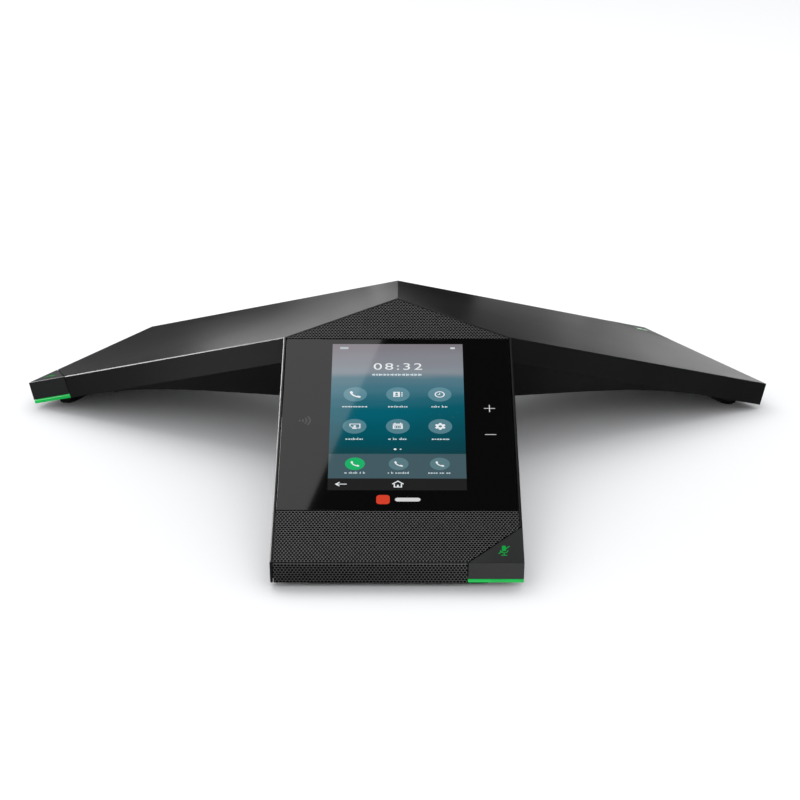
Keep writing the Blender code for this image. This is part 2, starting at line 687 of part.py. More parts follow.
def make_speaker(frames, materials):
    hub = frames["hub"]

    def part(name, profile, material, steps=SPEAKER_STEPS):
        return place(object_from(name, turned(profile, steps)), hub, materials[material], 35)

    part("speaker_enclosure", [(0, 0.0320), (0.0255, 0.0320), (0.0300, 0.0362), (0.0300, 0.0558), (0.0285, 0.0558),
                               (0.0285, 0.0368), (0.0249, 0.0335), (0, 0.0335)], "matte_black")
    basket = object_from("speaker_basket", turned(
        [(0.0295, 0.0576), (0.0262, 0.0576), (0.0175, 0.0460), (0.0090, 0.0460), (0.0090, 0.0444),
         (0.0186, 0.0444), (0.0272, 0.0561), (0.0295, 0.0561)], SPEAKER_STEPS))
    for i in range(4):
        window = moved(box((0.0192, 0.0300), (-0.0075, 0.0075), (0.0475, 0.0540)),
                       Matrix.Rotation(math.radians(45 + 90 * i), 4, "Z"))
        cut(basket, window)
    place(basket, hub, materials["steel"], 35)
    part("speaker_magnet", [(0, 0.0340), (0.0175, 0.0340), (0.0185, 0.0350), (0.0185, 0.0441), (0.0080, 0.0441),
                            (0.0080, 0.0370), (0.0069, 0.0370), (0.0069, 0.0450), (0, 0.0450)], "magnet_grey")
    part("speaker_cone", [(0.0210, 0.0583), (0.0086, 0.0514), (0.0078, 0.0523), (0.0056, 0.0536), (0.0030, 0.0542),
                          (0, 0.0545), (0, 0.0540), (0.0030, 0.0537), (0.0054, 0.0530), (0.0071, 0.0519),
                          (0.0074, 0.0506), (0.0086, 0.0507), (0.0210, 0.0576)], "paper_cone")
    part("voice_coil", [(0.00760, 0.0395), (0.00760, 0.0502), (0.00715, 0.0502), (0.00715, 0.0395)], "copper")
    roll = [(0.02345 + 0.0022 * math.cos(math.radians(a)), 0.0581 + 0.0022 * math.sin(math.radians(a)))
            for a in range(0, 181, 36)]
    inner_roll = [(0.02345 + 0.0016 * math.cos(math.radians(a)), 0.0581 + 0.0016 * math.sin(math.radians(a)))
                  for a in range(180, -1, -36)]
    part("speaker_surround", roll + inner_roll + [(0.02505, 0.0579), (0.0280, 0.0579), (0.0280, 0.0583),
                                                  (0.02565, 0.0583)], "rubber_black")


# Sockets and label, in the hub frame

def make_sockets(frames, materials):
    for name, (x, width, height, depth, mouth_w, mouth_h, mouth_d, sill) in SOCKETS.items():
        low = BOARD_TOP + FIT
        socket = object_from(name, box((x - width / 2, x + width / 2), (POD_REAR - depth, POD_REAR),
                                       (low, low + height)))
        mouth_z = (low + sill, low + sill + mouth_h)
        cut(socket, box((x - mouth_w / 2, x + mouth_w / 2), (POD_REAR - mouth_d, POD_REAR + 0.001), mouth_z))
        if name == "lan_jack":
            cut(socket, box((x - 0.0032, x + 0.0032), (POD_REAR - 0.010, POD_REAR + 0.001),
                            (mouth_z[1] - 0.0005, mouth_z[1] + 0.0020)))
        if name == "usb_host_port":
            join(socket, box((x - 0.0056, x + 0.0056), (POD_REAR - mouth_d - 0.0005, POD_REAR - 0.0012),
                             (mouth_z[1] - 0.0024, mouth_z[1] - 0.0005)))
        steel = name.startswith(("lan", "usb"))
        place(socket, frames["hub"], materials["steel" if steel else "matte_black"])
    label = object_from("rating_label", box((-0.022, 0.022), (0.008, 0.036), (POD_Z - FIT - 0.0002, POD_Z - FIT)))
    place(label, frames["hub"], materials["label_white"])


def main():
    clear_scene()
    materials = make_materials()
    frames = make_frames()
    make_top_cover(frames, materials)
    make_bottom_cover(frames, materials)
    make_grilles(frames, materials)
    make_display(frames, materials)
    make_boards(frames, materials)
    make_leg_ends(frames, materials)
    make_feet(frames, materials)
    make_screws(frames, materials)
    make_speaker(frames, materials)
    make_sockets(frames, materials)


main()
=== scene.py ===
import json
import math
import random
import bmesh
import bpy
from mathutils import Matrix, Vector
from mathutils.geometry import delaunay_2d_cdt
from mathutils.kdtree import KDTree


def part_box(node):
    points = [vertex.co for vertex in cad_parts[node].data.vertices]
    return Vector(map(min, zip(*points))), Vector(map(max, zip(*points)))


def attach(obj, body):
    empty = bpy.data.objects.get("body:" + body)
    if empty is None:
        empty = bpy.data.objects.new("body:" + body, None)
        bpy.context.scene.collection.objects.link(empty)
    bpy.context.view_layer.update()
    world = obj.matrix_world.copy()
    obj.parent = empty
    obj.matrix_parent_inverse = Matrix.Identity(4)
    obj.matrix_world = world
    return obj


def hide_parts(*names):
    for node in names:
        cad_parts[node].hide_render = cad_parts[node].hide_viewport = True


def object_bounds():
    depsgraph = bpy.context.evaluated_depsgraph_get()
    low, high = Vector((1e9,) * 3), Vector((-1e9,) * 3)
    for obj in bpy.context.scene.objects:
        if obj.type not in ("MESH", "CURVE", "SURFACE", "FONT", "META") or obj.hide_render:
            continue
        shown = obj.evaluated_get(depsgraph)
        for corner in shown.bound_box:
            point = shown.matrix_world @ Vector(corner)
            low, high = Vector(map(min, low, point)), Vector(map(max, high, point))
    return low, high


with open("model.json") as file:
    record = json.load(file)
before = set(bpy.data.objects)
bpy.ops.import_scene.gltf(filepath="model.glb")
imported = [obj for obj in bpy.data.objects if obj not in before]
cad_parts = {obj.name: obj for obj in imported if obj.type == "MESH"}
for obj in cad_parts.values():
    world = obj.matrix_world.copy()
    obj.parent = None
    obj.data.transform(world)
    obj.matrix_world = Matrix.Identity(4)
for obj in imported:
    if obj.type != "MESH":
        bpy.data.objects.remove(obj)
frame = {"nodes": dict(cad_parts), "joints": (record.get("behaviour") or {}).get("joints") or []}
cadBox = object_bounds()
nodes = frame["nodes"]
print("frame loaded:", len(nodes), "nodes")


# ---- where things are, read from the frame

legTurn = {"front": 0, "left": math.radians(-120), "right": math.radians(120)}
speakerLow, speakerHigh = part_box("speaker_magnet")
hubY = (speakerLow.y + speakerHigh.y) / 2
apexZ = cadBox[1].z
pressAxis = next(joint["axis"] for joint in frame["joints"] if joint["name"] == "mute_press_front")
slope = math.asin(pressAxis[1])


def legFrame(leg):
    # x to the right across the leg, y up its slope with the apex at 0, z square to its top
    turn = Matrix.Rotation(legTurn[leg], 4, "Z")
    return (Matrix.Translation((0, hubY, 0)) @ turn @ Matrix.Translation((0, 0, apexZ))
            @ Matrix.Rotation(slope, 4, "X"))


def legBox(node, leg="front"):
    # a node's lowest and highest corner, measured in its leg's own frame
    back = legFrame(leg).inverted()
    points = [back @ vert.co for vert in nodes[node].data.vertices]
    return (Vector(min(p[i] for p in points) for i in range(3)),
            Vector(max(p[i] for p in points) for i in range(3)))


glassLow, glassHigh = legBox("display_glass")
keyLow, keyHigh = legBox("mute_key_front")
legEnd = keyLow.y                            # where the top meets the leg's end
halfLeg = keyHigh.x
keySide = halfLeg - keyLow.x                 # length of the key's two straight sides
screen = {"width": 0.0621, "height": 0.1104, "top": -0.0389, "above": 0.00001, "layer": 0.00001}


# ---- shader maths

def rgb(red, green, blue):
    # screen colour, 0 to 255, as the linear colour that shaders want
    def linear(value):
        value /= 255
        return value / 12.92 if value <= 0.04045 else ((value + 0.055) / 1.055) ** 2.4
    return linear(red), linear(green), linear(blue), 1.0


class Value:
    # a shader socket that takes part in plain arithmetic
    def __init__(self, finish, socket):
        self.finish, self.socket = finish, socket

    def maths(self, operation, first, second):
        return self.finish.node("Math", {"operation": operation}, {0: first, 1: second})

    def __add__(self, other):
        return self.maths("ADD", self, other)

    def __sub__(self, other):
        return self.maths("SUBTRACT", self, other)

    def __rsub__(self, other):
        return self.maths("SUBTRACT", other, self)

    def __mul__(self, other):
        return self.maths("MULTIPLY", self, other)

    def __truediv__(self, other):
        return self.maths("DIVIDE", self, other)

    def __rtruediv__(self, other):
        return self.maths("DIVIDE", other, self)

    def step(self, low, high):
        # 0 below low, 1 above high, and a smooth rise between
        return self.finish.node("MapRange", {"interpolation_type": "SMOOTHSTEP"},
                                {"Value": self, "From Min": low, "From Max": high})

    __radd__, __rmul__ = __add__, __mul__


class Finish:
    # one material and its Principled shader
    def __init__(self, name, **sockets):
        self.material = bpy.data.materials.new(name)
        self.material.use_nodes = True
        self.tree = self.material.node_tree
        self.shader = self.tree.nodes["Principled BSDF"]
        self.give(self.shader, sockets)

    def give(self, node, values):
        for key, value in values.items():
            if isinstance(key, str):
                key = key.replace("_", " ")
            if isinstance(value, Value):
                self.tree.links.new(value.socket, node.inputs[key])
            else:
                node.inputs[key].default_value = value

    def node(self, kind, settings=None, values=None, output=0):
        # a new node of any kind: its settings first, then the values or links of its sockets
        made = self.tree.nodes.new("ShaderNode" + kind)
        for key, value in (settings or {}).items():
            if key == "stops":
                fillRamp(made.color_ramp, value)
            else:
                setattr(made, key, value)
        self.give(made, values or {})
        return Value(self, made.outputs[output])

    def place(self):
        return self.node("TexCoord", output="Object")

    def axis(self, number):
        return self.node("SeparateXYZ", None, {0: self.place()}, number)

    def noise(self, scale, detail=4.0, roughness=0.5, stretch=None):
        where = self.place()
        if stretch:
            where = self.node("Mapping", None, {"Vector": where, "Scale": stretch})
        return self.node("TexNoise", None, {"Vector": where, "Scale": scale, "Detail": detail,
                                            "Roughness": roughness})

    def mix(self, factor, first, second):
        # sockets 0, 6, 7 and output 2 of a Mix node are the ones for colours
        return self.node("Mix", {"data_type": "RGBA"}, {0: factor, 6: first, 7: second}, 2)

    def bump(self, height, distance, strength=1.0):
        normal = self.node("Bump", None, {"Height": height, "Distance": distance, "Strength": strength})
        self.give(self.shader, {"Normal": normal})

    def set(self, **sockets):
        self.give(self.shader, sockets)
        return self


def fillRamp(ramp, stops):
    ramp.interpolation = "EASE"
    while len(ramp.elements) < len(stops):
        ramp.elements.new(1.0)
    for element, (position, colour) in zip(ramp.elements, stops):
        element.position, element.color = position, colour


def dimmed(colour, share):
    return [c * share for c in colour[:3]] + [1.0]


# ---- finishes

# each moulding's two colours, its roughness, how far that roughness drifts and how deep its grain is
mouldedLook = {
    "shellPlastic": (rgb(25, 25, 26), rgb(28, 28, 29), 0.36, 0.08, 1.0),
    "underPlastic": (rgb(34, 33, 34), rgb(40, 38, 39), 0.55, 0.12, 2.0),
    "keyPlastic": (rgb(35, 36, 37), rgb(39, 40, 41), 0.40, 0.08, 1.0),
    "partPlastic": (rgb(26, 26, 27), rgb(34, 34, 35), 0.50, 0.08, 1.0),
    "whitePlastic": (rgb(196, 194, 188), rgb(206, 204, 198), 0.45, 0.08, 1.0),
    "magnetCoat": (rgb(62, 63, 66), rgb(78, 79, 82), 0.40, 0.20, 3.0),
}
grainLook = {"scale": 2600, "depth": 0.00002, "cloud": 22}


def mouldedPlastic(name):
    # satin plastic from a spark-eroded mould: a fine even grain and faint cloudy changes of gloss
    colour, drift, roughness, spread, grain = mouldedLook[name]
    finish = Finish(name, Specular_IOR_Level=0.5)
    cloud = finish.noise(grainLook["cloud"], 3.0)
    fine = finish.noise(grainLook["scale"], 2.0, 0.6)
    finish.set(Base_Color=finish.mix(cloud.step(0.35, 0.7), colour, drift),
               Roughness=roughness - spread / 2 + spread * cloud + 0.04 * fine)
    finish.bump(fine, grainLook["depth"] * grain, 0.5)
    return finish.material


def blackRubber(name):
    finish = Finish(name, Specular_IOR_Level=0.35)
    dust = finish.noise(260, 5.0, 0.7)
    finish.set(Base_Color=finish.mix(dust.step(0.5, 0.8), rgb(24, 24, 24), rgb(48, 47, 45)),
               Roughness=0.78 + 0.15 * dust)
    finish.bump(finish.noise(900, 3.0, 0.7), 0.00006, 0.6)
    return finish.material


def platedSteel(name, colour, roughness=0.3, brush=(40, 1, 40)):
    finish = Finish(name, Metallic=1.0)
    lines = finish.noise(60, 6.0, 0.7, brush)
    finish.set(Base_Color=finish.mix(lines.step(0.3, 0.7), colour, dimmed(colour, 0.82)),
               Roughness=roughness + 0.18 * lines)
    finish.bump(lines, 0.00001, 0.4)
    return finish.material


def circuitBoard(name):
    # solder mask over copper tracks: blocky cells of slightly different green with pale pads
    finish = Finish(name, Specular_IOR_Level=0.5)
    where = finish.node("Mapping", None, {"Vector": finish.place(), "Scale": (1, 1, 0.2)})
    cells = finish.node("TexVoronoi", {"distance": "CHEBYCHEV", "feature": "F1"},
                        {"Vector": where, "Scale": 420})
    tracks = finish.node("TexBrick", {"offset": 0.37},
                         {"Vector": where, "Scale": 160, "Mortar Size": 0.12, "Mortar Smooth": 0.2}, 1)
    mask = finish.mix(tracks.step(0.4, 0.6), rgb(18, 78, 44), rgb(30, 104, 60))
    pads = 1 - cells.step(0.10, 0.16)
    finish.set(Base_Color=finish.mix(pads, mask, rgb(196, 190, 170)), Metallic=pads * 0.8,
               Roughness=0.32 + 0.1 * tracks)
    finish.bump(tracks, 0.00003, 0.6)
    return finish.material


def perforatedSheet(name):
    finish = Finish(name, Metallic=0.35)
    cloud = finish.noise(300, 4.0, 0.6)
    finish.set(Base_Color=finish.mix(cloud, rgb(84, 84, 85), rgb(98, 98, 99)),
               Roughness=0.36 + 0.2 * cloud)
    finish.bump(finish.noise(5000, 2.0), 0.00001, 0.4)
    return finish.material


# the same near-black cloth is also painted on the grilles' hole walls, rims and bend as shade
def acousticCloth(name):
    finish = Finish(name, Specular_IOR_Level=0.1)
    where = finish.node("Mapping", None, {"Vector": finish.place(), "Rotation": (0, 0, math.radians(45))})
    weave = finish.node("TexChecker", None, {"Vector": where, "Scale": 2600,
                                             "Color1": rgb(4, 4, 4), "Color2": rgb(9, 9, 9)})
    finish.set(Base_Color=weave, Roughness=0.9 + 0.05 * finish.noise(400))
    return finish.material


def speakerCone(name):
    finish = Finish(name, Sheen_Weight=0.1)
    fibre = finish.noise(700, 6.0, 0.75, (1, 1, 0.3))
    finish.set(Base_Color=finish.mix(fibre, rgb(34, 34, 36), rgb(58, 57, 56)),
               Roughness=0.75 + 0.15 * fibre)
    finish.bump(fibre, 0.0001, 0.5)
    return finish.material


def windings(name):
    finish = Finish(name, Metallic=1.0)
    turns = finish.node("TexWave", {"wave_type": "BANDS", "bands_direction": "Z"},
                        {"Vector": finish.place(), "Scale": 1600, "Distortion": 0.0}, 1)
    finish.set(Base_Color=finish.mix(turns, rgb(120, 62, 30), rgb(214, 138, 88)),
               Roughness=0.3 + 0.15 * turns)
    finish.bump(turns, 0.0001, 0.8)
    return finish.material


def ribbonCable(name):
    finish = Finish(name, Specular_IOR_Level=0.5)
    across = finish.node("TexWave", {"wave_type": "BANDS", "bands_direction": "X"},
                         {"Vector": finish.place(), "Scale": 260, "Distortion": 0.0}, 1)
    finish.set(Base_Color=finish.mix(across.step(0.45, 0.6), rgb(150, 96, 30), rgb(196, 128, 52)),
               Roughness=0.35 + 0.1 * across)
    return finish.material


def paperLabel(name):
    finish = Finish(name)
    grain = finish.noise(500, 4.0, 0.6)
    finish.set(Base_Color=finish.mix(grain, rgb(206, 206, 204), rgb(222, 222, 219)),
               Roughness=0.5 + 0.2 * grain)
    return finish.material


moulded = {name: mouldedPlastic(name) for name in mouldedLook}
rubber = blackRubber("rubber")
steel = platedSteel("steel", rgb(190, 190, 193))
grilleMetal = perforatedSheet("grilleMetal")
clothAndHoleShade = acousticCloth("clothAndHoleShade")
copper = windings("copper")
print("finishes made")


# ---- the CAD nodes that stay, with their finishes

nodeFinish = {
    "top_cover": moulded["shellPlastic"],
    "bottom_cover": moulded["underPlastic"],
    "glass_gasket": rubber,
    "display_tray": steel,
    "display_flex": ribbonCable("flexFilm"),
    "lcd_panel": moulded["partPlastic"],
    "nfc_antenna": copper,
    "main_board": circuitBoard("mainBoardMask"),
    "heat_spreader": platedSteel("spreaderAluminium", rgb(176, 178, 182), 0.4),
    "wireless_module": platedSteel("canSteel", rgb(204, 203, 198), 0.25),
    "io_board": circuitBoard("socketBoardMask"),
    "speaker_enclosure": moulded["partPlastic"],
    "speaker_basket": steel,
    "speaker_magnet": moulded["magnetCoat"],
    "speaker_cone": speakerCone("coneFibre"),
    "speaker_surround": rubber,
    "voice_coil": copper,
    "lan_jack": platedSteel("jackShield", rgb(178, 178, 180), 0.28),
    "usb_host_port": platedSteel("usbShield", rgb(200, 200, 202), 0.22),
    "usb_service_port": platedSteel("serviceShield", rgb(200, 200, 202), 0.22),
    "mic_port_left": moulded["partPlastic"],
    "mic_port_right": moulded["partPlastic"],
    "rating_label": paperLabel("labelPaper"),
}
for leg in legTurn:
    nodeFinish[f"foot_{leg}"] = rubber
    nodeFinish[f"mute_key_{leg}"] = moulded["keyPlastic"]
    nodeFinish[f"mute_switch_{leg}"] = moulded["partPlastic"]
    nodeFinish[f"switch_stem_{leg}"] = moulded["whitePlastic"]
    nodeFinish[f"mic_capsule_{leg}"] = steel
    nodeFinish[f"leg_board_{leg}"] = circuitBoard(f"legBoardMask_{leg}")
    nodeFinish[f"leg_ribbon_{leg}"] = ribbonCable(f"ribbonFilm_{leg}")
for number in range(1, 7):
    nodeFinish[f"case_screw_{number}"] = platedSteel(f"screwZinc_{number}", rgb(150, 150, 150), 0.3)


def wearFinish(node, material):
    nodes[node].data.materials.clear()
    nodes[node].data.materials.append(material)


for node, material in nodeFinish.items():
    wearFinish(node, material)


# ---- building pieces

def piece(name, bm, material, body="base", slot=None, leg=None, smooth=None, replaced=()):
    # the mesh in bm as an object that rides on a body; with a leg its coordinates are that leg's own
    mesh = bpy.data.meshes.new(name)
    bm.to_mesh(mesh)
    bm.free()
    made = bpy.data.objects.new(name, mesh)
    bpy.context.scene.collection.objects.link(made)
    if leg:
        made.matrix_world = legFrame(leg)
    mesh.materials.append(material)
    if smooth:
        mesh.shade_smooth()
        mesh.set_sharp_from_angle(angle=math.radians(smooth))
    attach(made, body)
    if replaced:
        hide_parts(*replaced)
    return made


def addFace(bm, points):
    return bm.faces.new([bm.verts.new(point) for point in points])


def arcPoints(centre, radius, start, end, steps):
    return [(centre[0] + radius * math.cos(math.radians(start + (end - start) * i / steps)),
             centre[1] + radius * math.sin(math.radians(start + (end - start) * i / steps)))
            for i in range(steps + 1)]


class Drawing:
    # thin flat shapes on a plane, drawn in millimetres about an origin, all in one mesh
    def __init__(self, origin, height, unit=0.001):
        self.bm, self.origin, self.height, self.unit = bmesh.new(), Vector(origin), height, unit

    def shape(self, points):
        face = addFace(self.bm, [(self.origin.x + x * self.unit, self.origin.y + y * self.unit, self.height)
                                 for x, y in points])
        face.normal_update()
        if face.normal.z < 0:
            face.normal_flip()

    def bar(self, x, y, width, height, corner=0.0):
        half, tall = width / 2, height / 2
        if not corner:
            self.shape([(x - half, y - tall), (x + half, y - tall),
                        (x + half, y + tall), (x - half, y + tall)])
            return
        corner = min(corner, half * 0.999, tall * 0.999)
        outline = []
        for cx, cy, start in ((half, tall, 0), (-half, tall, 90), (-half, -tall, 180), (half, -tall, 270)):
            centre = (x + cx - math.copysign(corner, cx), y + cy - math.copysign(corner, cy))
            outline += arcPoints(centre, corner, start, start + 90, 5)
        self.shape(outline)

    def disc(self, x, y, radius, steps=40):
        self.shape(arcPoints((x, y), radius, 0, 360 - 360 / steps, steps - 1))

    def line(self, points, width):
        # a stroke of even width with mitred bends
        points = [Vector(p) for p in points]
        sides = []
        for i, point in enumerate(points):
            before = (point - points[i - 1]).normalized() if i else None
            after = (points[i + 1] - point).normalized() if i + 1 < len(points) else None
            along = ((before or after) + (after or before)).normalized()
            across = Vector((-along.y, along.x))
            reach = across.dot(Vector((-(after or before).y, (after or before).x)))
            sides.append((point + across * width / 2 / reach, point - across * width / 2 / reach))
        for (a, b), (c, d) in zip(sides, sides[1:]):
            self.shape([a, b, d, c])

    def ring(self, x, y, radius, width, start=0, end=360, steps=40):
        self.line(arcPoints((x, y), radius, start, end, steps), width)

    def words(self, x, y, width, height, seed):
        # greeked writing: a row of small marks where a word stands, with no letters in it
        pick = random.Random(seed)
        edge, place = x + width / 2, x - width / 2
        while place < edge - height * 0.3:
            wide = min(height * pick.uniform(0.4, 0.8), edge - place)
            tall = height * pick.choice((0.66, 0.66, 0.66, 1.0))
            self.bar(place + wide / 2, y - height * 0.17, wide * 0.9, height * 0.42)
            self.bar(place + wide * pick.choice((0.2, 0.8)), y - (height - tall) / 2, wide * 0.3, tall)
            place += wide + height * (0.12 if pick.random() < 0.84 else 0.6)

    def finish(self, name, material, **options):
        return piece(name, self.bm, material, **options)


# ---- perforated grilles

grilleLook = {"pitch": 0.00151, "rowStep": 0.866, "hole": 0.00132, "sides": 8, "margin": 0.0001,
              "sheet": 0.00025, "bend": 0.0004, "bendSteps": 4, "drop": -0.00002, "keyGap": 0.0004,
              "clothDrop": 0.0005, "clothInset": 0.0004, "endClothGap": 0.0001}


def inside(x, y, outline):
    found = False
    for (x1, y1), (x2, y2) in zip(outline, outline[1:] + outline[:1]):
        if (y1 > y) != (y2 > y) and x < (x2 - x1) * (y - y1) / (y2 - y1) + x1:
            found = not found
    return found


def edgeDistance(x, y, outline):
    nearest = 1.0
    for (x1, y1), (x2, y2) in zip(outline, outline[1:] + outline[:1]):
        dx, dy = x2 - x1, y2 - y1
        along = max(0.0, min(1.0, ((x - x1) * dx + (y - y1) * dy) / (dx * dx + dy * dy)))
        nearest = min(nearest, math.hypot(x - x1 - dx * along, y - y1 - dy * along))
    return nearest


def perforate(outline, look, creases=()):
    # the flat sheet punched with staggered rows of holes, cut along its outline; creases stay whole
    radius, pitch, sides = look["hole"] / 2, look["pitch"], look["sides"]
    low = [min(p[i] for p in outline) for i in (0, 1)]
    high = [max(p[i] for p in outline) for i in (0, 1)]
    centres = []
    rise, clear = pitch * look["rowStep"], look["margin"] + radius
    rows = int((high[1] - low[1]) / rise) + 2
    start = high[1]
    if creases:
        lowest = creases[0] + clear               # a row of holes stands right above the bend
        start = lowest + math.ceil((high[1] - lowest) / rise) * rise
    for row in range(rows):
        y = start - row * rise
        x = -math.ceil(high[0] / pitch) * pitch + (row % 2) * pitch / 2
        while x < high[0]:
            whole = all(abs(y - crease) > clear for crease in creases)
            if whole and (inside(x, y, outline) or edgeDistance(x, y, outline) < radius):
                centres.append((x, y))
            x += pitch
    points = [Vector(p) for p in outline]
    edges = [(i, (i + 1) % len(outline)) for i in range(len(outline))]
    for crease in creases:
        points += [Vector((low[0], crease)), Vector((high[0], crease))]
        edges.append((len(points) - 2, len(points) - 1))
    for x, y in centres:
        first = len(points)
        points += [Vector((x + radius * math.cos(2 * math.pi * i / sides),
                           y + radius * math.sin(2 * math.pi * i / sides))) for i in range(sides)]
        edges += [(first + i, first + (i + 1) % sides) for i in range(sides)]
    verts, _, faces, *_ = delaunay_2d_cdt(points, edges, [], 0, 1e-8)
    tree = KDTree(len(centres))
    for i, (x, y) in enumerate(centres):
        tree.insert((x, y, 0), i)
    tree.balance()
    kept = []
    for face in faces:
        x, y = (sum(verts[i][axis] for i in face) / 3 for axis in (0, 1))
        if tree.find((x, y, 0))[2] > radius * 0.87 and inside(x, y, outline):
            kept.append(face)
    return verts, kept, len(centres)


def sheetPiece(name, verts, faces, wrap, bentAndShaded, **options):
    # the flat punched sheet laid in place by wrap, given its thickness by a modifier; its hole walls, outer
    # rims and bend get painted shade
    bm = bmesh.new()
    made = [bm.verts.new(wrap(x, y)) for x, y in verts]
    for face in faces:
        corners = [made[i] for i in face]
        if (corners[1].co - corners[0].co).cross(corners[2].co - corners[0].co).length > 0:
            bm.faces.new(corners)
    loose = [vert for vert in bm.verts if not vert.link_faces]
    bmesh.ops.delete(bm, geom=loose, context="VERTS")
    made = piece(name, bm, grilleMetal, leg="front", slot="grille_black", **options)
    made.data.materials.append(clothAndHoleShade)            # slot 1 holds the near-black cloth, painted shade on the hole walls, the outer rims and the bend
    for face in made.data.polygons:
        # painted shade: the faces round the bend take the near-black cloth
        if bentAndShaded and face.center.y < legEnd + grilleLook["bend"] and face.center.z > -grilleLook["bend"]:
            face.material_index = 1
    solid = made.modifiers.new("sheet", "SOLIDIFY")
    solid.thickness, solid.offset = grilleLook["sheet"], -1
    # painted shade: the rim faces, that is the hole walls and the sheet's edges, take the near-black cloth
    solid.material_offset_rim = 1


def upperGrilleOutline():
    low, high = legBox("grille_upper")
    back = legFrame("front").inverted()
    points = [back @ vert.co for vert in nodes["grille_upper"].data.vertices]
    side = [point.y for point in points if abs(point.x - high.x) < 1e-5]
    corner, shoulder = min(side), max(side)
    return [(0, high.y), (low.x, shoulder), (low.x, corner), (high.x, corner), (high.x, shoulder)]


def layFlat(x, y):
    return x, y, grilleLook["drop"]


def wrapOverEnd(x, y):
    # a flat sheet laid on the top and bent down over the leg's end
    bend, drop = grilleLook["bend"], grilleLook["drop"]
    turn = legEnd + bend
    arc = bend * math.pi / 2
    if y >= turn:
        return x, y, drop
    if y >= turn - arc:
        angle = (turn - y) / bend
        return x, turn - (bend + drop) * math.sin(angle), drop - (bend + drop) * (1 - math.cos(angle))
    return x, legEnd - drop, -bend - (turn - arc - y)


def lowerGrilleOutline():
    low, high = legBox("grille_lower")
    gap, bend = grilleLook["keyGap"], grilleLook["bend"]
    crease = legEnd + bend - bend * math.pi / 4
    bottom = legEnd + bend - bend * math.pi / 2 - (-low.z - bend)
    reach = keySide + gap * math.sqrt(2)
    wall = keyLow.x - gap
    return [(low.x, high.y), (low.x, bottom), (wall, bottom), (wall, crease), (halfLeg - reach, crease),
            (high.x, legEnd + reach - (halfLeg - high.x)), (high.x, high.y)]


def makeGrilles():
    look, upper, lower = grilleLook, upperGrilleOutline(), lowerGrilleOutline()
    verts, faces, upperCount = perforate(upper, look)
    sheetPiece("upperGrille", verts, faces, layFlat, False, replaced=["grille_upper"])
    turn, arc, steps = legEnd + look["bend"], look["bend"] * math.pi / 2, look["bendSteps"]
    verts, faces, lowerCount = perforate(lower, look, [turn - arc * i / steps for i in range(steps + 1)])
    sheetPiece("lowerGrille", verts, faces, wrapOverEnd, True, replaced=["grille_lower"])

    # black cloth behind the holes, a little smaller than the sheets
    clothHeight = -look["sheet"] - look["clothDrop"]
    middle = sum(point[1] for point in upper) / len(upper)
    drawing = Drawing((0, 0), clothHeight, 1.0)
    drawing.shape([(x * 0.992, middle + (y - middle) * 0.98) for x, y in upper])
    drawing.finish("upperCloth", clothAndHoleShade, leg="front", slot="matte_black")
    inset = look["clothInset"]
    end = legEnd + look["sheet"] + inset
    (left, top), (right, corner) = lower[0], lower[5]
    drawing = Drawing((0, 0), clothHeight, 1.0)
    drawing.shape([(left + inset, top - inset), (left + inset, end), (lower[4][0], end),
                   (right - inset, corner), (right - inset, top - inset)])
    drawing.finish("lowerCloth", clothAndHoleShade, leg="front", slot="matte_black")
    low = legBox("grille_lower")[0]
    y = legEnd + look["sheet"] + look["endClothGap"]
    left, right, over, under = low.x, keyLow.x - 0.0006, -look["sheet"] - 0.0003, low.z + 0.00002
    bm = bmesh.new()
    addFace(bm, [(left, y, over), (left, y, under), (right, y, under), (right, y, over)])
    piece("endCloth", bm, clothAndHoleShade, leg="front", slot="matte_black")
    print("grilles punched:", upperCount + lowerCount, "holes")


makeGrilles()


# ---- cover glass with its black ink; the picture lies on its top and shares its shine

glassLook = {"edge": 0.0004, "rough": 0.035, "smear": 0.02, "ink": rgb(8, 8, 8), "inkDrift": rgb(10, 10, 10),
             "rimArea": 0.0002}


def glassSheen(finish):
    # the polish that the glass and everything lit behind it share, with faint finger smears
    smear = finish.noise(55, 5.0, 0.6)
    return glassLook["rough"] + glassLook["smear"] * smear.step(0.55, 0.8)


def blackGlass(name):
    finish = Finish(name, Specular_IOR_Level=0.5, IOR=1.5)
    grain = finish.noise(1500, 3.0)
    finish.set(Base_Color=finish.mix(grain, glassLook["ink"], glassLook["inkDrift"]),
               Roughness=glassSheen(finish))
    return finish.material


def makeCoverGlass():
    low, high = glassLow, glassHigh
    bm = bmesh.new()
    bmesh.ops.create_cube(bm, size=1.0)
    for vert in bm.verts:
        vert.co = Vector(low[i] if vert.co[i] < 0 else high[i] for i in range(3))
    rim = [edge for edge in bm.edges if all(v.co.z > high.z - 1e-6 for v in edge.verts)]
    bmesh.ops.bevel(bm, geom=rim, offset=glassLook["edge"], segments=3, affect="EDGES", profile=0.5)
    glass = piece("coverGlass", bm, blackGlass("blackGlass"), leg="front", smooth=50, slot="glass_black",
                  replaced=["display_glass"])
    for face in glass.data.polygons:
        face.use_smooth = face.area < glassLook["rimArea"]     # only the rounded rim, broad faces stay flat


makeCoverGlass()
print("cover glass made")


# ---- the lit picture

